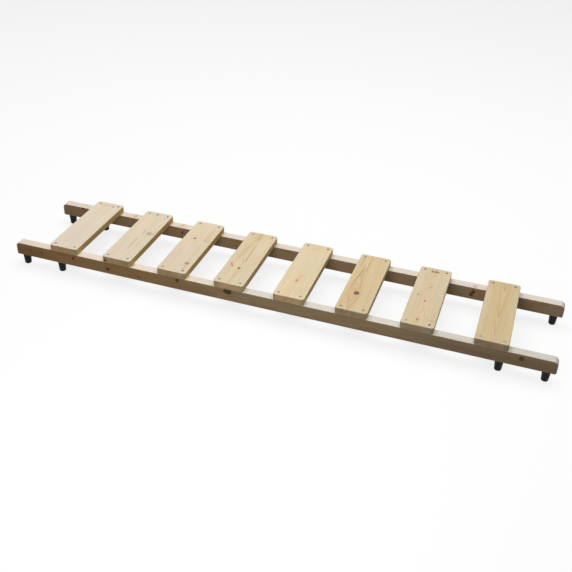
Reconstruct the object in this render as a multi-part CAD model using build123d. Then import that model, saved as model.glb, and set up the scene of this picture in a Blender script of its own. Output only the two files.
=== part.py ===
from build123d import *

import os

# Gymnastics ladder: two rails on edge, eight planks screwed across them, eight rubber feet.
# Millimetres. X runs along the rails, -Y is the front, Z is up from the floor under the feet.

# Rails: planed battens on edge, with their ends rounded over.
rail_length = 1680.0
rail_thickness = 28.0
rail_height = 42.0
rail_end_top_radius = 14.0
rail_end_bottom_radius = 4.0
rail_edge_radius = 2.0

# Planks: planed boards that lie flat across both rails.
plank_length = 310.0
plank_width = 95.0
plank_thickness = 22.0
plank_corner_radius = 8.0
plank_edge_radius = 2.0
plank_overhang = 2.0

# Where each plank's middle lies along X: about 186 apart, with a wider last bay.
plank_centres = (-666.0, -481.5, -297.0, -112.0, 75.0, 262.5, 452.0, 658.0)

# Feet: tapered rubber pegs in pairs, so that a trestle's bar fits between the two of a pair.
foot_height = 35.0
foot_top_radius = 12.5
foot_bottom_radius = 10.0
foot_bottom_edge_radius = 3.0
foot_top_edge_radius = 0.5
foot_bore_radius = 5.5
foot_web = 10.0
foot_web_hole_radius = 2.6
foot_outer_x = 815.0
foot_inner_x = 688.0

# Plank screws: 4 x 40 countersunk wood screws, four in each plank.
screw_spacing_x = 66.0
screw_spacing_y = 281.0
screw_radius = 2.0
screw_length = 40.0
screw_tip_length = 5.0
screw_head_radius = 4.0
screw_head_sink = 0.4
screw_recess_width = 0.9
screw_recess_length = 4.2
screw_recess_depth = 1.4
plank_hole_radius = 2.25
plank_pilot_radius = 2.05
plank_pilot_spare = 1.0
countersink_clearance = 0.07

# Foot screws: 4.5 x 30 pan-head wood screws, each under a plain washer.
foot_screw_radius = 2.25
foot_screw_length = 30.0
foot_screw_tip_length = 5.0
foot_screw_head_radius = 4.3
foot_screw_head_height = 2.6
foot_screw_head_edge_radius = 1.2
foot_pilot_radius = 2.3
foot_pilot_spare = 1.0
washer_radius = 5.2
washer_hole_radius = 2.45
washer_thickness = 1.2
seat_gap = 0.05
tip_radius = 0.3

# Levels and lines that follow from the sizes above.
rail_bottom_z = foot_height
rail_top_z = rail_bottom_z + rail_height
plank_top_z = rail_top_z + plank_thickness
rail_y = plank_length / 2 - plank_overhang - rail_thickness / 2
screw_head_top_z = plank_top_z - screw_head_sink
screw_bottom_z = screw_head_top_z - screw_length
foot_seat_z = foot_height - foot_web
washer_bottom_z = foot_seat_z - seat_gap - washer_thickness
foot_screw_seat_z = washer_bottom_z - seat_gap
foot_screw_tip_z = foot_screw_seat_z + foot_screw_length

# Rail sides and foot places, by the names that the parts carry.
rail_sides = {"front": -1, "rear": 1}
foot_places = {
    "left_outer": -foot_outer_x,
    "left_inner": -foot_inner_x,
    "right_inner": foot_inner_x,
    "right_outer": foot_outer_x,
}


def hole(x, y, bottom_z, top_z, radius):
    """A round hole's cutter, upright at x, y, from one level to another."""
    middle_z = (bottom_z + top_z) / 2
    return Pos(x, y, middle_z) * Cylinder(radius, top_z - bottom_z)


def screw_places(plank_x):
    """The four screw axes of one plank: two over each rail."""
    across = screw_spacing_y / 2
    along = screw_spacing_x / 2
    return [(plank_x + dx, dy) for dx in (-along, along) for dy in (-across, across)]


def make_rail(side):
    """One rail: a batten with rounded ends, eased edges and its pilot holes."""
    profile = Rectangle(rail_length, rail_height)
    profile = fillet(profile.vertices().group_by(Axis.Y)[-1], rail_end_top_radius)
    profile = fillet(profile.vertices().group_by(Axis.Y)[0], rail_end_bottom_radius)
    batten = extrude(Plane.XZ * profile, amount=rail_thickness / 2, both=True)
    side_faces = batten.faces().filter_by(Axis.Y)
    batten = fillet(side_faces.edges(), rail_edge_radius)
    batten = Pos(0, side * rail_y, rail_bottom_z + rail_height / 2) * batten

    pilot_bottom_z = screw_bottom_z - plank_pilot_spare
    for plank_x in plank_centres:
        for x, y in screw_places(plank_x):
            if y * side > 0:
                batten -= hole(x, y, pilot_bottom_z, rail_top_z, plank_pilot_radius)

    pilot_top_z = foot_screw_tip_z + foot_pilot_spare
    for x in foot_places.values():
        batten -= hole(x, side * rail_y, rail_bottom_z, pilot_top_z, foot_pilot_radius)
    return batten


def make_plank(plank_x):
    """One plank: a board with rounded corners, eased edges and four countersunk holes."""
    outline = RectangleRounded(plank_width, plank_length, plank_corner_radius)
    board = extrude(outline, amount=plank_thickness)
    flat_faces = board.faces().filter_by(Axis.Z)
    board = fillet(flat_faces.edges(), plank_edge_radius)
    board = Pos(plank_x, 0, rail_top_z) * board

    mouth_radius = screw_head_radius + screw_head_sink + countersink_clearance
    mouth_depth = mouth_radius - plank_hole_radius
    for x, y in screw_places(plank_x):
        board -= hole(x, y, rail_top_z, plank_top_z, plank_hole_radius)
        countersink = Cone(plank_hole_radius, mouth_radius, mouth_depth)
        board -= Pos(x, y, plank_top_z - mouth_depth / 2) * countersink
    return board


def cross_recess(low_z):
    """The cutter for the cross in a screw head, standing on low_z."""
    slot = Box(screw_recess_length, screw_recess_width, screw_recess_depth)
    slots = slot + Rot(0, 0, 90) * slot
    return Pos(0, 0, low_z + screw_recess_depth / 2) * slots


def make_plank_screw():
    """One countersunk screw on the Z axis, its head just under the plank's face."""
    neck_z = screw_head_top_z - (screw_head_radius - screw_radius)
    outline = Polyline(
        (0, screw_head_top_z),
        (screw_head_radius, screw_head_top_z),
        (screw_radius, neck_z),
        (screw_radius, screw_bottom_z + screw_tip_length),
        (tip_radius, screw_bottom_z),
        (0, screw_bottom_z),
        close=True,
    )
    screw = revolve(Plane.XZ * make_face(outline), Axis.Z)
    return screw - cross_recess(screw_head_top_z - screw_recess_depth)


def make_foot():
    """One rubber foot on the Z axis: tapered, rounded below, bored up to a thick web."""
    outline = Polyline(
        (foot_bore_radius, 0),
        (foot_bottom_radius, 0),
        (foot_top_radius, foot_height),
        (foot_web_hole_radius, foot_height),
        (foot_web_hole_radius, foot_seat_z),
        (foot_bore_radius, foot_seat_z),
        close=True,
    )
    foot = revolve(Plane.XZ * make_face(outline), Axis.Z)
    outer_rims = foot.edges().filter_by(GeomType.CIRCLE).sort_by(SortBy.RADIUS)[-2:]
    bottom_rim = outer_rims.sort_by(Axis.Z)[0]
    foot = fillet(bottom_rim, foot_bottom_edge_radius)
    top_rim = foot.edges().filter_by(GeomType.CIRCLE).sort_by(SortBy.RADIUS)[-1]
    return fillet(top_rim, foot_top_edge_radius)


def make_foot_washer():
    """The plain washer that bears on a foot's web, on the Z axis."""
    disc = Cylinder(washer_radius, washer_thickness) - Cylinder(washer_hole_radius, washer_thickness)
    return Pos(0, 0, washer_bottom_z + washer_thickness / 2) * disc


def make_foot_screw():
    """One pan-head screw on the Z axis, its head below and its tip up in the rail."""
    head_bottom_z = foot_screw_seat_z - foot_screw_head_height
    shank_top_z = foot_screw_tip_z - foot_screw_tip_length
    head = hole(0, 0, head_bottom_z, foot_screw_seat_z, foot_screw_head_radius)
    head = fillet(head.edges().sort_by(Axis.Z)[0], foot_screw_head_edge_radius)
    shank = hole(0, 0, foot_screw_seat_z, shank_top_z, foot_screw_radius)
    tip = Cone(foot_screw_radius, tip_radius, foot_screw_tip_length)
    tip = Pos(0, 0, shank_top_z + foot_screw_tip_length / 2) * tip
    return head + shank + tip - cross_recess(head_bottom_z)


def write(shape, node):
    """Write one piece, or one group of like pieces, under its name."""
    shape.label = node
    export_step(shape, f"parts/{node}.step")


os.makedirs("parts", exist_ok=True)

plank_screw = make_plank_screw()
foot = make_foot()
foot_washer = make_foot_washer()
foot_screw = make_foot_screw()

for side_name, side in rail_sides.items():
    write(make_rail(side), f"rail_{side_name}")

for number, plank_x in enumerate(plank_centres, start=1):
    write(make_plank(plank_x), f"plank_{number}")
    screws = [Pos(x, y, 0) * plank_screw for x, y in screw_places(plank_x)]
    write(Compound(children=screws), f"plank_{number}_screws")

for side_name, side in rail_sides.items():
    for place_name, x in foot_places.items():
        place = Pos(x, side * rail_y, 0)
        write(place * foot, f"foot_{side_name}_{place_name}")
        write(place * foot_washer, f"foot_washer_{side_name}_{place_name}")
        write(place * foot_screw, f"foot_screw_{side_name}_{place_name}")
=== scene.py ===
import math

import bpy
from mathutils import Matrix, Vector


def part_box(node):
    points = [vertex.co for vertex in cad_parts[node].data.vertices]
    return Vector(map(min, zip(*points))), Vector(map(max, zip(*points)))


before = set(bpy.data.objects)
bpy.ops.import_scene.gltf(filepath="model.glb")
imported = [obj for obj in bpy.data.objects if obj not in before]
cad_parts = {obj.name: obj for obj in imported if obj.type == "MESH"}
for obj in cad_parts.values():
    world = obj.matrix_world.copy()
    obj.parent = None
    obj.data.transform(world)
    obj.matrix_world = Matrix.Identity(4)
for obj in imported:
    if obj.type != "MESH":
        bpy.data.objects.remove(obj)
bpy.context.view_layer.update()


# The two rails. Each is one planed pine batten, stood on edge and oiled, with its ends
# rounded over. The narrow top edges are painted pale with a sheen, and the tall sides are
# painted browner as shade.

MM = 0.001


def node(tree, kind, *feeds, **settings):
    """Adds a shader node. Feeds fill its inputs in order: a value, a link, or None to skip one."""
    made = tree.nodes.new(kind)
    for setting, value in settings.items():
        setattr(made, setting, value)
    for socket, feed in zip(made.inputs, feeds):
        if isinstance(feed, bpy.types.NodeSocket):
            tree.links.new(feed, socket)
        elif feed is not None:
            socket.default_value = feed
    return made


def maths(tree, operation, *feeds):
    """The result of one Math node."""
    return node(tree, "ShaderNodeMath", *feeds, operation=operation).outputs[0]


def total(tree, first, *others):
    """The sum of several values."""
    for other in others:
        first = maths(tree, "ADD", first, other)
    return first


def less(tree, first, *others):
    """The first value with the others taken off."""
    for other in others:
        first = maths(tree, "SUBTRACT", first, other)
    return first


def product(tree, first, *others):
    """The product of several values."""
    for other in others:
        first = maths(tree, "MULTIPLY", first, other)
    return first


def size_of(tree, value):
    """A value without its sign."""
    return maths(tree, "ABSOLUTE", value)


def larger(tree, first, second):
    """The larger of two values."""
    return maths(tree, "MAXIMUM", first, second)


def hump(tree, along, across):
    """A round hill: 1 where both values are nought, falling softly to 0 away from there."""
    squared = total(tree, product(tree, along, along), product(tree, across, across))
    return maths(tree, "EXPONENT", product(tree, squared, -1.0))


def rise(tree, value, low, high, bottom=0.0, top=1.0):
    """Goes smoothly from bottom to top while the value goes from low to high."""
    feeds = (value, low, high, bottom, top)
    return node(tree, "ShaderNodeMapRange", *feeds, interpolation_type="SMOOTHSTEP").outputs[0]


def grey(tree, value):
    """A grey colour from one value."""
    return node(tree, "ShaderNodeCombineXYZ", value, value, value).outputs[0]


def tinted(tree, amount, colour, tint, how="MIX"):
    """One colour laid over another by an amount."""
    made = node(tree, "ShaderNodeMix", data_type="RGBA", blend_type=how)
    for place, feed in ((0, amount), (6, colour), (7, tint)):
        if isinstance(feed, bpy.types.NodeSocket):
            tree.links.new(feed, made.inputs[place])
        elif isinstance(feed, tuple):
            made.inputs[place].default_value = (*feed, 1.0)
        else:
            made.inputs[place].default_value = feed
    return made.outputs[2]


def lumps(tree, spot, per_metre, detail=2.0, roughness=0.5):
    """Noise from 0 to 1, with its own number of lumps a metre along, across and through."""
    stretched = node(tree, "ShaderNodeVectorMath", spot, per_metre, operation="MULTIPLY").outputs[0]
    return node(tree, "ShaderNodeTexNoise", stretched, None, 1.0, detail, roughness).outputs[0]


def axes(tree, vector):
    """A vector's three numbers."""
    return node(tree, "ShaderNodeSeparateXYZ", vector).outputs


def new_group(name, inputs, outputs):
    """An empty shader group with named sockets: its tree, what comes in, and what goes out."""
    tree = bpy.data.node_groups.new(name, "ShaderNodeTree")
    kinds = {"value": "NodeSocketFloat", "place": "NodeSocketVector", "colour": "NodeSocketColor"}
    for way, sockets in (("INPUT", inputs), ("OUTPUT", outputs)):
        for kind, labels in sockets.items():
            for label in labels:
                tree.interface.new_socket(label, in_out=way, socket_type=kinds[kind])
    return tree, tree.nodes.new("NodeGroupInput").outputs, tree.nodes.new("NodeGroupOutput").inputs


def use(tree, group, feeds):
    """Places a group and fills its inputs by name, each with a value, a colour or a link."""
    placed = node(tree, "ShaderNodeGroup", node_tree=group)
    for label, feed in feeds.items():
        if isinstance(feed, bpy.types.NodeSocket):
            tree.links.new(feed, placed.inputs[label])
        elif placed.inputs[label].type == "RGBA":
            placed.inputs[label].default_value = (*feed, 1.0)
        else:
            placed.inputs[label].default_value = feed
    return placed.outputs


def new_material(name):
    """An empty material: itself, its tree and its main shader."""
    material = bpy.data.materials.new(name)
    material.use_nodes = True
    return material, material.node_tree, material.node_tree.nodes["Principled BSDF"]


def cover(tree, shader, colour, rough, height, strength):
    """Gives a shader its colour, its roughness, and a bump from a height in metres."""
    bump = node(tree, "ShaderNodeBump", strength)
    bump.inputs["Distance"].default_value = 1.0
    tree.links.new(height, bump.inputs["Height"])
    tree.links.new(colour, shader.inputs["Base Color"])
    tree.links.new(rough, shader.inputs["Roughness"])
    tree.links.new(bump.outputs[0], shader.inputs["Normal"])


def dress(piece, material):
    """Puts one material on the whole of a piece."""
    piece.data.materials.clear()
    piece.data.materials.append(material)


# A knot is the stub of a branch that crosses the board from face to face. Growth rings run
# round it in a long eye. It has a dark rim of bark, rings and a crack of its own, and resin.
knot_raggedness = 0.55
knot_ring_rate = 17.0
rim_reach = 0.96
rim_width = 0.28
eye_height = 0.8
resin_strength = 0.45
branch_knot, knot_in, knot_out = new_group(
    "Branch knot",
    {"place": ["Place"],
     "value": ["Ragged", "Along", "Across", "Length", "Width", "Slant", "Darkness",
               "Swell", "Heart", "Rim", "Resin"]},
    {"value": ["Swell", "Heart", "Rim", "Resin"]},
)
t = branch_knot
along, across, through = axes(t, knot_in["Place"])
ragged = knot_in["Ragged"]
darkness = knot_in["Darkness"]
off_along = less(t, along, knot_in["Along"], product(t, through, knot_in["Slant"]))
off_along = maths(t, "DIVIDE", off_along, knot_in["Length"])
off_across = maths(t, "DIVIDE", less(t, across, knot_in["Across"]), knot_in["Width"])
squared = total(t, product(t, off_along, off_along), product(t, off_across, off_across))
reach = total(t, maths(t, "SQRT", squared), product(t, ragged, knot_raggedness))
own_rings = maths(t, "SINE", product(t, reach, knot_ring_rate))
inner = total(t, 0.80, product(t, own_rings, 0.10), product(t, ragged, 0.5))
inner = product(t, inner, rise(t, reach, 1.05, 0.85), darkness)
bark = rise(t, size_of(t, less(t, reach, rim_reach)), rim_width, 0.0)
crack = rise(t, size_of(t, total(t, off_across, product(t, ragged, 0.6))), 0.13, 0.03)
crack = product(t, crack, rise(t, reach, 0.8, 0.5), 0.8)
bark = product(t, larger(t, bark, crack), darkness)
eye = hump(t, product(t, off_along, 0.15), product(t, off_across, 0.42))
bulge = product(t, eye, knot_in["Width"], eye_height)
resin = hump(t, product(t, off_along, 0.32), product(t, off_across, 0.5))
resin = product(t, resin, darkness, resin_strength)
t.links.new(total(t, knot_in["Swell"], bulge), knot_out["Swell"])
t.links.new(larger(t, knot_in["Heart"], inner), knot_out["Heart"])
t.links.new(larger(t, knot_in["Rim"], bark), knot_out["Rim"])
t.links.new(larger(t, knot_in["Resin"], resin), knot_out["Resin"])

# Growth rings are shells round the pith, a line near the board. The trunk tapers, so a face
# near the pith shows long nested points, and a face far from it shows straight fine lines.
ring_quiver = 0.9 * MM
ring_bunches_per_metre = 150.0
ring_bunching = 1.6
late_starts, late_peaks, late_stops = 0.5, 0.93, 0.95
growth_rings, ring_in, ring_out = new_group(
    "Growth rings",
    {"place": ["Place", "Spot"],
     "value": ["Pith across", "Pith through", "Taper", "Drift", "Ring width", "Wander", "Swell"]},
    {"value": ["Late wood", "Distance"]},
)
t = growth_rings
along, across, through = axes(t, ring_in["Place"])
sway = less(t, lumps(t, ring_in["Spot"], (4, 9, 9), 1.0), 0.5)
swerve = less(t, lumps(t, ring_in["Spot"], (7, 16, 20), 1.0), 0.5)
quiver = less(t, lumps(t, ring_in["Spot"], (28, 260, 260)), 0.5)
from_across = less(t, across, ring_in["Pith across"], product(t, along, ring_in["Drift"]))
from_across = total(t, from_across, product(t, sway, ring_in["Wander"]))
from_through = less(t, through, ring_in["Pith through"])
from_through = total(t, from_through, product(t, swerve, ring_in["Wander"]))
squared = total(t, product(t, from_across, from_across), product(t, from_through, from_through))
distance = less(t, maths(t, "SQRT", squared), ring_in["Swell"])
distance = total(t, distance, product(t, along, ring_in["Taper"]), product(t, quiver, ring_quiver))
bunch = product(t, distance, ring_bunches_per_metre)
bunch = node(t, "ShaderNodeTexNoise", None, bunch, 1.0, 1.0, noise_dimensions="1D").outputs[0]
years = maths(t, "DIVIDE", distance, ring_in["Ring width"])
years = total(t, years, product(t, bunch, ring_bunching))
season = maths(t, "FRACT", years)
year = maths(t, "FLOOR", years)
strength = node(t, "ShaderNodeTexWhiteNoise", None, year, noise_dimensions="1D").outputs[0]
late = product(t, rise(t, season, late_starts, late_peaks), rise(t, season, 1.0, late_stops))
late = product(t, late, rise(t, strength, 0.0, 1.0, 0.45, 1.0))
t.links.new(late, ring_out["Late wood"])
t.links.new(distance, ring_out["Distance"])

# A stain is a soft streak along the grain: resin, grey sap or pink heartwood. It wavers a
# little, fades towards both ends, and is thinner between the fibres.
stain_waver = 5.0 * MM
grain_stain, stain_in, stain_out = new_group(
    "Stain along the grain",
    {"colour": ["Color", "Tint"],
     "place": ["Place"],
     "value": ["Waver", "Fibre", "Start", "End", "Across", "Bend", "Width", "Strength"]},
    {"colour": ["Color"]},
)
t = grain_stain
along, across, _ = axes(t, stain_in["Place"])
middle = product(t, total(t, stain_in["Start"], stain_in["End"]), 0.5)
half_length = product(t, less(t, stain_in["End"], stain_in["Start"]), 0.5)
step = maths(t, "DIVIDE", less(t, along, middle), half_length)
ends = rise(t, size_of(t, step), 1.1, 0.55)
waver = product(t, stain_in["Waver"], stain_waver)
side = total(t, less(t, across, stain_in["Across"], product(t, step, stain_in["Bend"])), waver)
side = maths(t, "DIVIDE", side, stain_in["Width"])
band = maths(t, "EXPONENT", product(t, side, side, -1.0))
fibrous = rise(t, stain_in["Fibre"], 0.3, 0.65, 0.6, 1.0)
amount = product(t, ends, band, fibrous, stain_in["Strength"])
t.links.new(tinted(t, amount, stain_in["Color"], stain_in["Tint"]), stain_out["Color"])

# The face of planed pine: ring colours, fine fibres, slow changes of tone, resin canals and
# knots, the faint ripple of the planer's knives, and eased edges made paler by rubbed wear with a
# painted highlight. Sides, ends and undersides are painted darker and warmer than the top as
# shade, and an end's painted shade is ruddy in its middle and darker at its corners.
heart_tint = (0.98, 0.92, 0.86)
warm_tint = (1.012, 0.992, 0.97)
cool_tint = (0.988, 1.008, 1.02)
resin_tint = (0.93, 0.78, 0.60)
# The pale colour of the eased edges is rubbed wear with a painted highlight.
rubbed_and_highlight_colour = (0.86, 0.78, 0.64)
knife_pitch, knife_height = 1.7 * MM, 0.004 * MM
saw_pitch, saw_height = 1.1 * MM, 0.008 * MM
fibre_height = 0.05 * MM
ring_height = 0.045 * MM
end_fibre_height = 0.12 * MM
canal_depth = 0.04 * MM
knot_depth = 0.08 * MM
planed_pine, pine_in, pine_out = new_group(
    "Planed pine",
    {"place": ["Place", "Spot", "Half size"],
     "value": ["End", "Up", "Fibre", "Late wood", "Ring strength", "Distance", "Heart", "Rim",
               "Resin", "Underside shade"],
     "colour": ["Early colour", "Late tint", "Knot colour", "Bark colour", "Side shade tint",
                "End shade tint", "Corner shade tint"]},
    {"colour": ["Color"], "value": ["Roughness", "Height"]},
)
t = planed_pine
fibre = pine_in["Fibre"]
along, across, through = axes(t, pine_in["Place"])
end_grain = rise(t, size_of(t, pine_in["End"]), 0.55, 0.9)
tuft = lumps(t, pine_in["Spot"], (7, 130, 130))
tone = lumps(t, pine_in["Spot"], (3, 32, 32), 1.0)
hue = lumps(t, pine_in["Spot"], (5, 46, 40), 1.0)
blotch = lumps(t, pine_in["Spot"], (55, 55, 55))
canal = rise(t, lumps(t, pine_in["Spot"], (90, 2300, 2300), 1.0), 0.70, 0.78)
late = product(t, pine_in["Late wood"], pine_in["Ring strength"])
late = product(t, late, total(t, 1.0, product(t, end_grain, 0.35)))
heartwood = rise(t, pine_in["Distance"], 42 * MM, 10 * MM)
colour = tinted(t, heartwood, pine_in["Early colour"], heart_tint, "MULTIPLY")
colour = tinted(t, late, colour, pine_in["Late tint"], "MULTIPLY")
shade = total(t, 0.71, product(t, fibre, 0.24), product(t, tuft, 0.18), product(t, tone, 0.10))
colour = tinted(t, 1.0, colour, grey(t, shade), "MULTIPLY")
flush = tinted(t, rise(t, hue, 0.25, 0.75), warm_tint, cool_tint)
colour = tinted(t, 1.0, colour, flush, "MULTIPLY")
colour = tinted(t, product(t, canal, 0.35), colour, pine_in["Late tint"], "MULTIPLY")
colour = tinted(t, pine_in["Resin"], colour, resin_tint, "MULTIPLY")
colour = tinted(t, pine_in["Heart"], colour, pine_in["Knot colour"])
colour = tinted(t, product(t, pine_in["Rim"], 0.85), colour, pine_in["Bark colour"])
inset = node(t, "ShaderNodeVectorMath", pine_in["Place"], operation="ABSOLUTE").outputs[0]
inset = node(t, "ShaderNodeVectorMath", pine_in["Half size"], inset, operation="SUBTRACT")
from_end, from_side, from_face = axes(t, inset.outputs[0])
# Painted shade: faces that point sideways, and by the underside amount those that point down, take
# the darker, warmer side tint, or on an end the end tint, which darkens towards the end's corners.
corner = rise(t, total(t, from_side, product(t, blotch, 14 * MM)), 30 * MM, 8 * MM)
end_shade_tint = tinted(t, corner, pine_in["End shade tint"], pine_in["Corner shade tint"])
painted_shade_tint = tinted(t, end_grain, pine_in["Side shade tint"], end_shade_tint)
patchy = tinted(t, 1.0, painted_shade_tint, grey(t, rise(t, blotch, 0.25, 0.75, 0.86, 1.12)), "MULTIPLY")
painted_shade_tint = tinted(t, end_grain, painted_shade_tint, patchy)
shaded_sides = rise(t, size_of(t, pine_in["Up"]), 0.8, 0.3)
shaded_below = product(t, rise(t, pine_in["Up"], -0.3, -0.8), pine_in["Underside shade"])
painted_shade = larger(t, shaded_sides, shaded_below)
colour = tinted(t, painted_shade, colour, tinted(t, 1.0, colour, painted_shade_tint, "MULTIPLY"))
edge = larger(t, from_end, from_side)
edge = maths(t, "MINIMUM", edge, larger(t, from_side, from_face))
edge = maths(t, "MINIMUM", edge, larger(t, from_end, from_face))
# Painted highlight mixed with rubbed wear: a patchy pale line along the eased edges, where their
# rounding catches the light.
rubbed_and_highlight = rise(t, blotch, 0.3, 0.7, 0.1, 0.45)
rubbed_and_highlight = product(t, rise(t, edge, 2.4 * MM, 0.6 * MM), rubbed_and_highlight)
colour = tinted(t, rubbed_and_highlight, colour, rubbed_and_highlight_colour)
t.links.new(colour, pine_out["Color"])
ripple = total(t, along, product(t, across, 0.02))
ripple = maths(t, "SINE", product(t, ripple, 2 * math.pi / knife_pitch))
ripple = product(t, ripple, rise(t, tuft, 0.35, 0.7), knife_height)
sawn = total(t, across, product(t, through, 0.25), product(t, tone, 2.0 * MM))
sawn = maths(t, "SINE", product(t, sawn, 2 * math.pi / saw_pitch))
sawn = product(t, sawn, end_grain, saw_height)
height = total(t, product(t, fibre, fibre_height), product(t, pine_in["Late wood"], ring_height))
height = total(t, height, ripple, sawn, product(t, end_grain, fibre, end_fibre_height))
height = less(t, height, product(t, canal, canal_depth), product(t, pine_in["Rim"], knot_depth))
t.links.new(height, pine_out["Height"])
rough = total(t, 0.54, product(t, fibre, 0.16), product(t, end_grain, 0.12))
rough = less(t, rough, product(t, late, 0.07), product(t, pine_in["Heart"], 0.10))
t.links.new(rough, pine_out["Roughness"])


def pine(board, lies, top, side, end, corner, pith, taper=0.01, drift=0.01, ring_width=2.0,
         wander=8.0, ring_strength=0.5, late_tint=(0.80, 0.69, 0.54), turns=(-1.0, 1.0),
         knots=(), top_knots=(), stains=(), knot_colour=(0.22, 0.10, 0.05),
         bark_colour=(0.06, 0.03, 0.018)):
    """Dresses one board in pine cut from its own place in the log, with knots and stains, and with
    painted shade on its sides, ends and underside.
    """
    material, tree, shader = new_material(f"pine_{board}")
    shader.inputs["Specular IOR Level"].default_value = 0.16
    low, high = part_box(board)
    middle = tuple((low + high) / 2)
    half = (high - low) / 2
    given = node(tree, "ShaderNodeTexCoord").outputs
    x, y, z = axes(tree, given["Object"])
    from_middle = node(tree, "ShaderNodeVectorMath", given["Object"], middle, operation="SUBTRACT")
    from_middle = from_middle.outputs[0]
    mid_x, mid_y, mid_z = axes(tree, from_middle)
    up_x, up_y, up_z = axes(tree, given["Normal"])
    if lies == "on edge":
        spot = node(tree, "ShaderNodeCombineXYZ", x, z, y).outputs[0]
        place = node(tree, "ShaderNodeCombineXYZ", mid_x, mid_z, mid_y).outputs[0]
        half_size = Vector((half.x, half.z, half.y))
        mid_along, facing_end, underside_shade = mid_x, up_x, 1.0
    else:
        spot = node(tree, "ShaderNodeCombineXYZ", y, x, z).outputs[0]
        place = node(tree, "ShaderNodeCombineXYZ", mid_y, mid_x, mid_z).outputs[0]
        half_size = Vector((half.y, half.x, half.z))
        mid_along, facing_end, underside_shade = mid_y, up_y, 0.3
    fibre = lumps(tree, spot, (26, 900, 900), 3.0, 0.65)
    waver = less(tree, lumps(tree, spot, (12, 34, 34)), 0.5)
    ragged = less(tree, lumps(tree, place, (160, 260, 60)), 0.5)

    marks = {"Swell": 0.0, "Heart": 0.0, "Rim": 0.0, "Resin": 0.0}
    for crossing, group_of_knots in ((place, knots), (from_middle, top_knots)):
        for along, across, length, width, slant, darkness in group_of_knots:
            outcome = use(tree, branch_knot, {
                "Place": crossing, "Ragged": ragged, "Along": along * MM, "Across": across * MM,
                "Length": length * MM, "Width": width * MM, "Slant": slant,
                "Darkness": darkness, **marks})
            marks = {label: outcome[label] for label in marks}
    rings = use(tree, growth_rings, {
        "Place": place, "Spot": spot, "Pith across": pith[0] * MM, "Pith through": pith[1] * MM,
        "Taper": taper, "Drift": drift, "Ring width": ring_width * MM, "Wander": wander * MM,
        "Swell": marks["Swell"]})

    turned = rise(tree, mid_along, turns[0] * half_size.x, turns[1] * half_size.x)
    # The side tints are painted shade: each side colour divided by its top colour.
    side_shade_tints = [tuple(painted_shade / pale for painted_shade, pale in zip(*pair)) for pair in zip(side, top)]
    face = use(tree, planed_pine, {
        "Place": place, "Spot": spot, "Half size": half_size, "End": facing_end, "Up": up_z,
        "Fibre": fibre, "Late wood": rings["Late wood"], "Ring strength": ring_strength,
        "Distance": rings["Distance"], "Heart": marks["Heart"], "Rim": marks["Rim"],
        "Resin": marks["Resin"], "Underside shade": underside_shade,
        "Early colour": tinted(tree, turned, *top), "Late tint": late_tint,
        "Knot colour": knot_colour, "Bark colour": bark_colour,
        "Side shade tint": tinted(tree, turned, *side_shade_tints),
        "End shade tint": [painted_shade / pale for painted_shade, pale in zip(end, top[0])],
        "Corner shade tint": [painted_shade / pale for painted_shade, pale in zip(corner, top[0])]})
    colour = face["Color"]
    for tint, start, finish, across, bend, width, strength in stains:
        colour = use(tree, grain_stain, {
            "Color": colour, "Tint": tint, "Place": place, "Waver": waver, "Fibre": fibre,
            "Start": start * MM, "End": finish * MM, "Across": across * MM, "Bend": bend * MM,
            "Width": width * MM, "Strength": strength})["Color"]
    cover(tree, shader, colour, face["Roughness"], face["Height"], 0.6)
    dress(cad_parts[board], material)


# Knots are given as along, across, half length, half width, slant and darkness, and stains as
# colour, start, end, across, bend, half width and strength. All are in millimetres from the
# board's middle. A top or side has two colours, which the board goes between along its length.
# The side, end and corner colours are painted shade: warmer and darker copies of the top's wood.
# Painted shade: these brown and grey streaks darken the rails' sides towards their ends, over a
# middle stretch and in a thin line low on the front rail's side.
brown_painted_shade = (0.20, 0.11, 0.05)
grey_painted_shade = (0.22, 0.15, 0.09)
peach = (0.80, 0.50, 0.30)
# The rails' pale, near-neutral top colours have a painted sheen in them.
pine("rail_front", "on edge",
     top=[(0.90, 0.79, 0.66), (0.735, 0.715, 0.655)], turns=(-0.6, 0.0),
     side=[(0.47, 0.27, 0.115), (0.47, 0.335, 0.19)],
     end=(0.42, 0.27, 0.13), corner=(0.36, 0.24, 0.12),
     pith=(-12, 52), taper=0.006, drift=0.006, ring_width=2.3, wander=11, ring_strength=0.7,
     knots=[(-784, 1, 4, 5, 0.2, 0.3), (-744, 1, 4, 5, 0.2, 0.5), (-630, 7, 4, 6, 0.3, 0.8),
            (-519, -3, 5, 5, -0.3, 0.95), (-406, -8, 4, 4, 0.2, 0.45),
            (-276, 12, 5, 6, 0.1, 0.95), (-120, 12, 12, 8, -0.4, 1.0), (745, 7, 6, 7, 0.1, 1.0)],
     top_knots=[(-433, -2, 4, 8, 0.0, 0.35)],
     stains=[(brown_painted_shade, -1000, -720, -8, 0, 20, 0.55), (brown_painted_shade, -330, -150, -10, 0, 14, 0.25),
             (grey_painted_shade, 420, 1100, -8, 0, 20, 0.6), (grey_painted_shade, -100, 500, -17, 0, 5, 0.35)],
     knot_colour=(0.09, 0.045, 0.03), bark_colour=(0.03, 0.016, 0.012))
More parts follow.
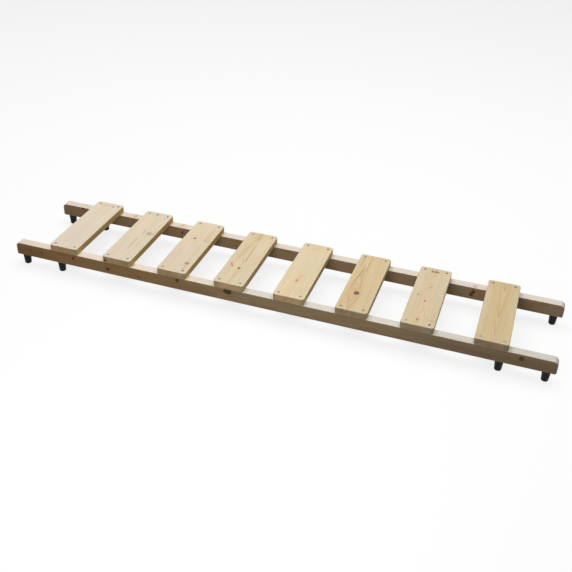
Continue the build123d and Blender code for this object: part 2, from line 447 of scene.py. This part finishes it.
pine("rail_rear", "on edge",
     top=[(0.85, 0.76, 0.645), (0.79, 0.73, 0.655)],
     side=[(0.50, 0.33, 0.17), (0.50, 0.345, 0.205)],
     end=(0.45, 0.30, 0.16), corner=(0.40, 0.28, 0.15),
     pith=(14, -62), taper=-0.006, drift=0.008, ring_width=2.5, wander=11, ring_strength=0.65,
     knots=[(-759, 17, 5, 3, 0.2, 1.0), (-394, 3, 3.5, 5, -0.3, 0.8),
            (577, 6, 5, 6, 0.3, 0.95), (572, -4, 5, 6, 0.3, 0.95)],
     top_knots=[(-394, 4, 4, 9, 0.0, 0.3), (576, -5, 5, 6, 0.0, 0.35),
                (-567, 3, 6, 14, 0.0, 0.25)],
     stains=[(peach, -590, -545, 24, 0, 5, 0.5), (peach, -410, -380, 24, 0, 5, 0.4),
             (peach, 560, 600, 24, 0, 4, 0.45), (brown_painted_shade, -900, -790, -8, 0, 20, 0.3)],
     knot_colour=(0.10, 0.05, 0.035), bark_colour=(0.035, 0.02, 0.014))


# The eight planks. Each is a planed pine board from another place in the log, laid flat
# across both rails, with rounded corners and eased edges. They run from pale to yellow.

# Painted shade: the planks' sides take these warm, dark colours instead of their tops' colour.
golden_shaded_side = [(0.57, 0.38, 0.14), (0.56, 0.37, 0.13)]
straw_shaded_side = [(0.59, 0.42, 0.21), (0.59, 0.42, 0.20)]
pine("plank_1", "flat", top=[(0.81, 0.715, 0.585), (0.845, 0.72, 0.545)], side=golden_shaded_side,
     end=(0.80, 0.525, 0.26), corner=(0.56, 0.475, 0.24), pith=(95, -35), ring_width=1.9,
     knots=[(131, 18, 3, 3, 0.2, 1.0)],
     stains=[((0.60, 0.40, 0.30), 132, 141, -7, 0, 20, 0.45),
             ((0.66, 0.61, 0.38), -30, 130, 43, 0, 5, 0.4)],
     knot_colour=(0.40, 0.13, 0.08))
pine("plank_2", "flat", top=[(0.79, 0.675, 0.515), (0.81, 0.70, 0.51)], side=golden_shaded_side,
     end=(0.74, 0.505, 0.265), corner=(0.56, 0.47, 0.25), pith=(-88, -40), ring_width=2.1,
     knots=[(138, -4, 4, 4, 0.2, 0.9), (15, 27, 8.5, 9, 0.3, 0.4),
            (-158, -38, 4, 3.5, -1.0, 1.0)],
     stains=[((0.64, 0.62, 0.47), -100, 130, 9, 0, 7, 0.5),
             ((0.40, 0.26, 0.11), 8, 42, 6, -4, 1.6, 0.7),
             ((0.42, 0.30, 0.18), -90, -10, 3, -1, 1.9, 0.7),
             ((0.70, 0.45, 0.22), 5, 55, 43, 0, 4, 0.6),
             ((0.83, 0.63, 0.50), 20, 140, -24, 0, 10, 0.4)],
     knot_colour=(0.24, 0.14, 0.12))
pine("plank_3", "flat", top=[(0.76, 0.635, 0.47), (0.80, 0.67, 0.475)], side=golden_shaded_side,
     end=(0.72, 0.50, 0.27), corner=(0.56, 0.46, 0.25), pith=(98, -34), ring_width=2.0,
     knots=[(44, -11, 4, 4, 0.2, 0.95), (-102, 28, 6, 6, 0.3, 0.7)],
     stains=[((0.64, 0.44, 0.21), 34, 124, 26, 2, 6, 0.5),
             ((0.64, 0.47, 0.26), 25, 80, 34, 0, 6, 0.35),
             ((0.42, 0.28, 0.15), 38, 46, 30, 0, 11, 0.4),
             ((0.58, 0.30, 0.20), -140, -106, 30, 0, 3, 0.5),
             ((0.58, 0.50, 0.38), -90, 140, 5, 0, 3, 0.3),
             ((0.64, 0.48, 0.30), -65, 20, 22, 0, 8, 0.35)],
     knot_colour=(0.18, 0.08, 0.055))
pine("plank_4", "flat", top=[(0.75, 0.62, 0.42), (0.76, 0.62, 0.405)], side=straw_shaded_side,
     end=(0.80, 0.54, 0.31), corner=(0.60, 0.50, 0.29), pith=(-84, -30), ring_width=2.3,
     knots=[(-68, 0, 6, 4, 0.2, 0.8)],
     stains=[((0.54, 0.34, 0.13), 98, 160, -4, -2, 6, 0.75),
             ((0.60, 0.43, 0.21), 55, 150, -13, -3, 6, 0.4),
             ((0.60, 0.43, 0.20), -28, 78, -22, 2, 6, 0.55),
             ((0.36, 0.22, 0.06), -36, 94, 3, -1, 1.5, 0.85),
             ((0.38, 0.23, 0.07), -40, 8, -5, -6.5, 1.3, 0.75),
             ((0.46, 0.31, 0.12), 5, 75, -15, -3, 1.5, 0.55),
             ((0.44, 0.17, 0.05), -66, -40, -28, -6, 3.2, 0.95),
             ((0.62, 0.39, 0.22), -158, -82, 0, 1, 3.5, 0.65),
             ((0.74, 0.66, 0.51), 10, 130, 25, 0, 12, 0.45),
             ((0.74, 0.66, 0.52), -62, -38, -14, 0, 8, 0.4)],
     knot_colour=(0.17, 0.09, 0.07))
pine("plank_5", "flat", top=[(0.77, 0.635, 0.415), (0.80, 0.665, 0.445)], side=straw_shaded_side,
     end=(0.80, 0.54, 0.31), corner=(0.62, 0.50, 0.29), pith=(76, -34), ring_width=2.0,
     knots=[(-67, -3, 5, 2.8, 0.2, 0.95)],
     stains=[((0.72, 0.45, 0.23), -82, -22, 1, 3, 9, 0.5),
             ((0.72, 0.54, 0.29), 112, 160, 0, 0, 22, 0.45),
             ((0.54, 0.37, 0.18), -136, -94, 28, -5, 1.4, 0.6),
             ((0.56, 0.40, 0.20), -143, -98, 21, 1, 1.4, 0.5),
             ((0.72, 0.54, 0.35), -145, -88, -2, 0, 14, 0.35),
             ((0.68, 0.60, 0.37), -60, 100, 36, 0, 7, 0.35)],
     knot_colour=(0.34, 0.12, 0.045))
pine("plank_6", "flat", top=[(0.72, 0.57, 0.345), (0.745, 0.59, 0.36)], side=straw_shaded_side,
     end=(0.58, 0.45, 0.29), corner=(0.52, 0.43, 0.275), pith=(-20, -11), taper=0.032,
     drift=0.0, ring_width=3.1, wander=7, ring_strength=0.6, late_tint=(0.76, 0.64, 0.48),
     knots=[(-65, -7, 8.5, 7.5, 0.1, 1.0)],
     stains=[((0.36, 0.22, 0.10), -20, 74, -25, 5, 1.7, 0.85),
             ((0.38, 0.24, 0.11), 3, 74, -14.5, -5.5, 1.5, 0.6),
             ((0.46, 0.28, 0.14), 22, 72, -20, 0, 3.0, 0.35),
             ((0.42, 0.28, 0.14), -52, 2, -30, 0, 1.6, 0.6),
             ((0.42, 0.28, 0.14), -50, 8, -5.5, -3.5, 1.5, 0.55),
             ((0.42, 0.29, 0.15), 72, 155, -32, 0, 1.5, 0.6),
             ((0.42, 0.28, 0.14), 45, 155, -10, 0, 1.6, 0.7),
             ((0.45, 0.33, 0.20), -155, -75, -19, -6, 2.2, 0.6),
             ((0.38, 0.26, 0.13), -155, -75, -4, 8.5, 1.6, 0.65)],
     knot_colour=(0.11, 0.045, 0.04), bark_colour=(0.07, 0.035, 0.025))
pine("plank_7", "flat", top=[(0.715, 0.58, 0.38), (0.735, 0.605, 0.405)], side=straw_shaded_side,
     end=(0.58, 0.455, 0.30), corner=(0.48, 0.42, 0.285), pith=(2, -22), taper=0.012,
     ring_width=2.4,
     knots=[(132, -9, 4.5, 3, 0.2, 0.95), (133, 1.5, 4.5, 4, 0.2, 1.0),
            (131, 9, 3, 3, 0.2, 0.7), (45, 2, 4, 5, 0.1, 0.3), (-4, -26, 6, 3, 0.1, 0.4),
            (-31, -2, 4.5, 2.2, 0.1, 0.9), (-128, -4, 4, 3, 0.1, 0.95)],
     stains=[((0.74, 0.54, 0.37), -135, 60, -2, 0, 10, 0.3),
             ((0.62, 0.36, 0.16), -155, -100, -4, 0, 2.0, 0.5),
             ((0.50, 0.33, 0.14), -125, -117, 36, 0, 10, 0.6),
             ((0.62, 0.57, 0.41), -60, 110, 30, 0, 9, 0.4),
             ((0.74, 0.65, 0.47), 20, 155, -38, 0, 8, 0.45),
             ((0.66, 0.53, 0.26), 76, 112, -8, 16, 4, 0.4),
             ((0.72, 0.48, 0.32), -100, 100, 44, 0, 3, 0.4)],
     knot_colour=(0.20, 0.08, 0.05))
pine("plank_8", "flat", top=[(0.70, 0.555, 0.325), (0.705, 0.56, 0.33)], side=straw_shaded_side,
     end=(0.58, 0.41, 0.28), corner=(0.48, 0.39, 0.27), pith=(3, -11), taper=-0.024,
     drift=0.0, ring_width=2.4, wander=5, ring_strength=0.8, late_tint=(0.76, 0.64, 0.48),
     stains=[((0.60, 0.46, 0.34), -160, -90, 3, 0, 5, 0.4),
             ((0.70, 0.61, 0.43), -150, 155, -39, 0, 8, 0.45),
             ((0.68, 0.59, 0.41), -150, 155, 39, 0, 8, 0.4)])


# The screws through the plank corners, and the washers and screws inside the feet, are
# zinc-plated steel, dull grey and unevenly tarnished, with a cross pressed in each head.

zinc, tree, shader = new_material("zinc_steel")
shader.inputs["Metallic"].default_value = 1.0
spot = node(tree, "ShaderNodeTexCoord").outputs["Object"]
patches = lumps(tree, spot, (500, 500, 500), 3.0, 0.6)
tarnish = rise(tree, lumps(tree, spot, (23, 23, 23), 1.0), 0.35, 0.65, 0.55, 1.1)
crystals = node(tree, "ShaderNodeTexVoronoi", spot, None, 1400.0).outputs["Distance"]
colour = tinted(tree, patches, (0.20, 0.204, 0.204), (0.37, 0.375, 0.372))
colour = tinted(tree, 1.0, colour, grey(tree, tarnish), "MULTIPLY")
rough = rise(tree, patches, 0.2, 0.8, 0.52, 0.34)
cover(tree, shader, colour, rough, product(tree, crystals, 0.02 * MM), 0.4)

# The feet are short tapered pegs of black moulded rubber, screwed to the rails' undersides.
# Their surface is matt and finely grained, with a little dust near the floor.

rubber, tree, shader = new_material("foot_rubber")
shader.inputs["Specular IOR Level"].default_value = 0.2
dust_height = 9 * MM
spot = node(tree, "ShaderNodeTexCoord").outputs["Object"]
mottle = lumps(tree, spot, (160, 160, 160), 3.0, 0.6)
grain = lumps(tree, spot, (2600, 2600, 2600))
dust = rise(tree, axes(tree, spot)[2], dust_height, 0.0, 0.0, 0.5)
dust = product(tree, dust, rise(tree, mottle, 0.45, 0.7))
colour = tinted(tree, mottle, (0.0035, 0.0035, 0.0038), (0.008, 0.008, 0.0085))
colour = tinted(tree, dust, colour, (0.045, 0.042, 0.038))
rough = rise(tree, mottle, 0.3, 0.7, 0.5, 0.66)
cover(tree, shader, colour, rough, product(tree, grain, 0.04 * MM), 0.5)

for name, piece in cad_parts.items():
    if "screw" in name or "washer" in name:
        dress(piece, zinc)
    elif name.startswith("foot_"):
        dress(piece, rubber)


# The studio: a plain pale floor, one broad soft lamp overhead, a weaker one in front, and
# pale air all round.


def seen_directly(tree):
    """1 for what the camera sees, straight on, mirrored in metal or through glass, and else 0."""
    paths = node(tree, "ShaderNodeLightPath").outputs
    seen = larger(tree, paths["Is Camera Ray"], paths["Is Glossy Ray"])
    return larger(tree, seen, paths["Is Transmission Ray"])


white = (1.0, 1.0, 1.0, 1.0)
floor_grey = (0.20, 0.20, 0.20, 1.0)
floor_glow = 0.81
air_light = 0.14
floor_size = 30.0
corners = [(x * floor_size, y * floor_size, 0.0) for x, y in ((-1, -1), (1, -1), (1, 1), (-1, 1))]
floor_mesh = bpy.data.meshes.new("floor")
floor_mesh.from_pydata(corners, [], [(0, 1, 2, 3)])
floor = bpy.data.objects.new("floor", floor_mesh)
bpy.context.scene.collection.objects.link(floor)
floor_finish = bpy.data.materials.new("floor")
floor_finish.use_nodes = True
tree = floor_finish.node_tree
tree.nodes.clear()
pale = node(tree, "ShaderNodeBsdfDiffuse", floor_grey).outputs[0]
glow = product(tree, seen_directly(tree), floor_glow)
glow = node(tree, "ShaderNodeEmission", white, glow).outputs[0]
lit = node(tree, "ShaderNodeAddShader", pale, glow).outputs[0]
clear = node(tree, "ShaderNodeBsdfTransparent").outputs[0]
from_below = node(tree, "ShaderNodeNewGeometry").outputs["Backfacing"]
surface = node(tree, "ShaderNodeMixShader", from_below, lit, clear).outputs[0]
node(tree, "ShaderNodeOutputMaterial", surface)
floor_mesh.materials.append(floor_finish)

world = bpy.data.worlds.new("studio")
bpy.context.scene.world = world
world.use_nodes = True
tree = world.node_tree
tree.nodes.clear()
level = rise(tree, seen_directly(tree), 0.0, 1.0, air_light, 1.0)
sky = node(tree, "ShaderNodeBackground", white, level).outputs[0]
node(tree, "ShaderNodeOutputWorld", sky)

for name, place, size, watts in (
    ("overhead", (0.0, 0.5, 3.0), (4.0, 3.0), 97.0),
    ("front", (0.05, -1.2, 0.8), (0.8, 0.5), 4.0),
):
    light = bpy.data.lights.new(name, "AREA")
    light.shape = "RECTANGLE"
    light.size, light.size_y = size
    light.energy = watts
    lamp = bpy.data.objects.new(name, light)
    lamp.location = place
    lamp.rotation_euler = (-Vector(place)).to_track_quat("-Z", "Y").to_euler()
    bpy.context.scene.collection.objects.link(lamp)

# The camera stands in front and to the right, and looks down at the whole ladder. Its place
# and its three directions are given in the ladder's own axes.

camera_data = bpy.data.cameras.new("camera")
camera_data.sensor_width = 36.0
camera_data.lens = 51.85
camera = bpy.data.objects.new("camera", camera_data)
right = Vector((0.94509, 0.32545, 0.02973))
down = Vector((0.20526, -0.52036, -0.82891))
ahead = Vector((-0.2543, 0.7895, -0.55859))
turn = Matrix((right, -down, -ahead)).transposed()
camera.matrix_world = Matrix.Translation((0.66758, -2.01562, 1.45118)) @ turn.to_4x4()
bpy.context.scene.collection.objects.link(camera)
bpy.context.scene.camera = camera
bpy.context.scene.view_settings.view_transform = "Standard"
